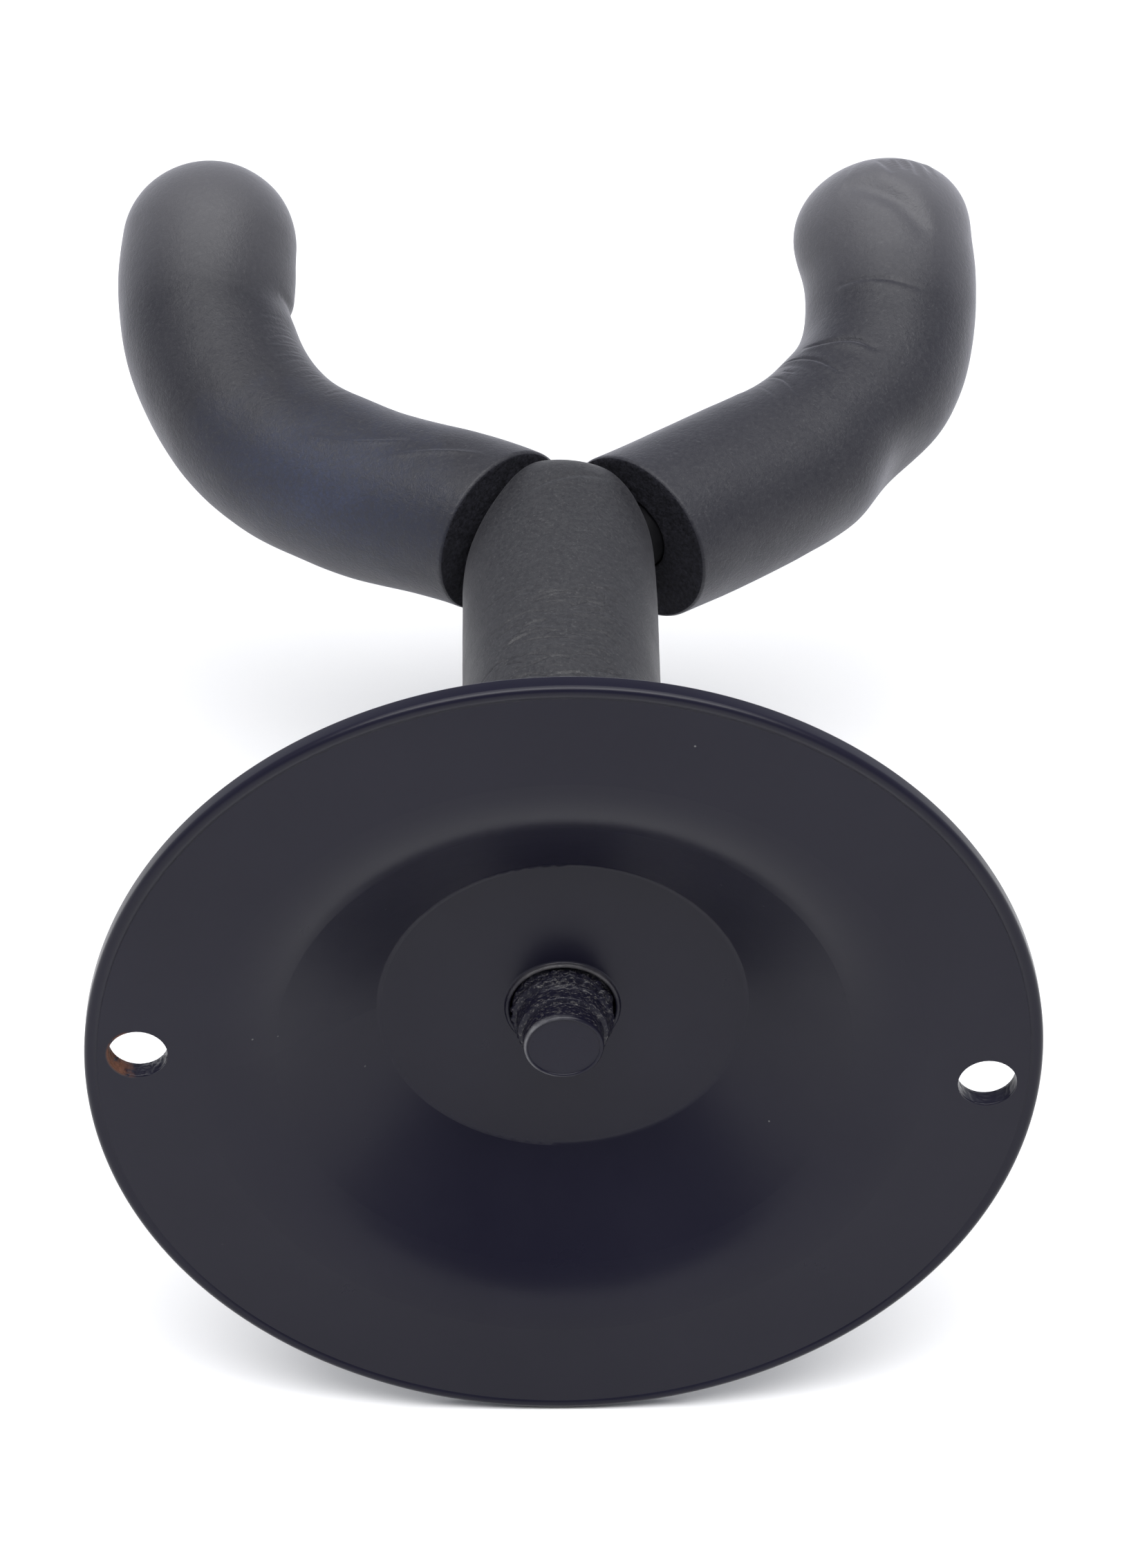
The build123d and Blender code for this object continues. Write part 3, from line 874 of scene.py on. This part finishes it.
def neck_rod(materials):
    turns = np.linspace(0.0, 360.0, STUD_AROUND, endpoint=False)
    places = steps(STUD_TIP + 0.15, THREAD_END, 0.16, 0.075, ((STUD_TIP, RECESS_DEPTH + 1.0),))
    reach, angle = np.meshgrid(places, turns, indexing="ij")
    radius = thread_radius(reach, angle)
    turned = np.radians(angle)
    points = np.stack([radius * np.cos(turned), -reach, radius * np.sin(turned)], axis=-1)
    chewed = np.exp(-(((reach - RECESS_DEPTH + 0.6) / 1.5) ** 2))
    clogged = STUD_RADIUS - 0.45 + lumps(points, 0.7, 0.9, 1.0) + lumps(points, 0.28, 0.35, 7.0)
    radius = radius + chewed * np.clip(clogged - radius, -0.25, 0.6) * 0.8
    rough = np.clip((reach - STUD_TIP - 0.3) / 0.5, 0.0, 1.0)
    radius = radius + rough * (lumps(points, 0.5, 0.06, 2.0) + lumps(points, 0.2, 0.035, 4.0))
    radius = np.minimum(radius, np.minimum(STUD_RADIUS + 0.02, stud_point(reach) + 0.08))

    def ring(at, ring_radius):
        spread = np.broadcast_to(ring_radius, turns.shape)
        return np.stack([spread * np.cos(np.radians(turns)), np.broadcast_to(-np.asarray(at), turns.shape),
                         spread * np.sin(np.radians(turns))], axis=-1)

    # The flat face lies a little below its rounded rim.
    rim = STUD_POINT[0][1]
    rings = [ring(STUD_TIP + FACE_DEPTH, r) for r in (1.0, 2.2, rim - 0.32, rim - 0.22)]
    for turn in np.radians(np.linspace(0.0, 150.0, 8)):
        rings.append(ring(STUD_TIP + FACE_DEPTH * (1.0 - math.sin(turn)), rim - 0.03 - 0.17 * math.cos(turn)))
    rings += [ring(place, outline) for place, outline in zip(places, radius)]
    rings += [ring(place, STUD_RADIUS) for place in np.linspace(THREAD_END + 0.5, COPE_START, 12)]
    # The far end is coped to sit on the yoke rod that runs across it.
    side = STUD_RADIUS * np.sin(np.radians(turns))
    for share in (0.6, 1.0):
        saddle = NECK_REACH - np.sqrt(np.maximum(ROD_RADIUS**2 - side**2, 0.0)) - 0.05
        rings.append(ring(COPE_START * (1.0 - share) + saddle * share, STUD_RADIUS))
    for shrink in (0.8, 0.5, 0.2):
        inner = side * shrink
        saddle = NECK_REACH - np.sqrt(np.maximum(ROD_RADIUS**2 - inner**2, 0.0)) - 0.05
        rings.append(ring(saddle, STUD_RADIUS * shrink))
    return ring_mesh("neck_stud", rings, [0] * len(rings), materials)


# ---------------------------------------------------------------------------
# The plate's edge and screw holes
# ---------------------------------------------------------------------------
RIM_ROUND = 0.6                        # rounding of the plate's edge on the wall side
RIM_BACK_ROUND = 0.3                   # and on the arm's side
FILM = 0.04                            # how thick the enamel is round the edge
FILM_REACH = 1.2                       # how far it comes in from the edge
FILM_TUCK = 0.3                        # its ends are hidden this deep in the sheet
RIM_AROUND = 720
CRUST_AROUND = 160


def hole_crust(name, side, height, seed, materials):
    """The rough edge of paint and scale in one screw hole."""
    turns = np.linspace(0.0, 2 * math.pi, CRUST_AROUND, endpoint=False)
    centre = side * SCREW_PLACE * np.array([math.cos(SCREW_LINE_TURN), 0.0, math.sin(SCREW_LINE_TURN)])
    way = np.stack([np.cos(turns), 0.0 * turns, np.sin(turns)], axis=-1)
    lower = 0.5 - 0.5 * np.sin(turns)
    rings = []
    depths = np.linspace(0.12, SHEET - 0.12, 14)
    for depth in depths:
        base = centre + way * SCREW_RADIUS + np.array([0.0, -depth, 0.0])
        rough = 0.5 + lumps(base, 0.55, 1.0, seed) + lumps(base, 0.25, 0.5, seed + 3.0)
        edge = math.sin(math.pi * (depth - depths[0]) / (depths[-1] - depths[0])) ** 0.4
        inward = 0.01 + height * edge * lower * np.clip(rough, 0.0, 1.3)
        rings.append(base - way * inward[:, None])
    for depth in depths[::-1]:
        rings.append(centre + way * (SCREW_RADIUS + 0.05) + np.array([0.0, -depth, 0.0]))
    return band_mesh(name, rings, materials)


def rim_film(materials):
    """The enamel round the plate's edge, which is thicker there and rounds off both corners."""
    turns = np.linspace(0.0, 2 * math.pi, RIM_AROUND, endpoint=False)
    outside = PLATE_RADIUS + FILM
    inside = PLATE_RADIUS - FILM_REACH
    outline = [(inside, FILM_TUCK), (inside, 0.0)]
    wall_corner = (RIM_ROUND, RIM_ROUND - FILM, 90.0)
    arm_corner = (RIM_BACK_ROUND, SHEET + FILM - RIM_BACK_ROUND, 0.0)
    for round_by, middle, first in (wall_corner, arm_corner):
        for turn in np.radians(np.linspace(first, first - 90.0, 9)):
            radius = outside - round_by * (1.0 - math.cos(turn))
            outline.append((radius, middle - round_by * math.sin(turn)))
    outline += [(inside, SHEET), (inside, SHEET - FILM_TUCK)]
    rings = [np.stack([r * np.cos(turns), np.full(RIM_AROUND, -depth), r * np.sin(turns)], axis=-1)
             for r, depth in outline]
    return band_mesh("rim_film", rings, materials)


# ---------------------------------------------------------------------------
# The model
# ---------------------------------------------------------------------------
def paint_frame(node, material):
    for material_slot in bpy.data.objects[node].material_slots:
        material_slot.material = material


def main():
    make_camera()
    make_lights()
    make_world()
    make_floor()

    plate = plate_paint()
    rod = rod_paint()
    stud = stud_paint()
    neck_skin = foam_skin("neck_foam_skin", 0.0116, 0.0030, 0.04)
    right_skin = foam_skin("right_foam_skin", 0.0070, 0.0044, 0.24, (24.5, -87.5, 3.5))
    left_skin = foam_skin("left_foam_skin", 0.0080, 0.0050, 0.27)
    cut = foam_cut()
    paint_frame("wall_plate", plate)
    paint_frame("yoke_rod", rod)
    paint_frame("weld_bead", rod)

    right = prong_sleeve(
        "right_foam", RIGHT_PRONG, RIGHT_END_RADIUS, RIGHT_SWELLINGS, RIGHT_FOLDS,
        lambda s, a: bend_wrinkles(s, a, 5, 30.0, 50.0, 2.0, 48.0, 18, 0.055), [right_skin, cut])
    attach(right, "arm")
    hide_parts("right_sleeve")

    left = prong_sleeve(
        "left_foam", LEFT_PRONG, LEFT_END_RADIUS, LEFT_SWELLINGS, LEFT_FOLDS,
        lambda s, a: bend_wrinkles(s, a, 8, 29.0, 42.0, -4.0, 40.0, 8, 0.04), [left_skin, cut])
    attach(left, "arm")
    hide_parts("left_sleeve")

    neck = neck_foam([neck_skin, cut])
    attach(neck, "arm")
    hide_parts("neck_sleeve")

    threaded = neck_rod([stud])
    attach(threaded, "arm")
    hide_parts("neck_rod")

    film = rim_film([plate])
    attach(film, "plate")

    for name, side, height, seed in (("right_hole_crust", 1, 0.22, 2.0), ("left_hole_crust", -1, 0.07, 5.0)):
        crust = hole_crust(name, side, height, seed, [plate])
        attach(crust, "plate")


main()
look = bpy.context.scene.view_settings
look.view_transform = "Standard"
look.look = "None"
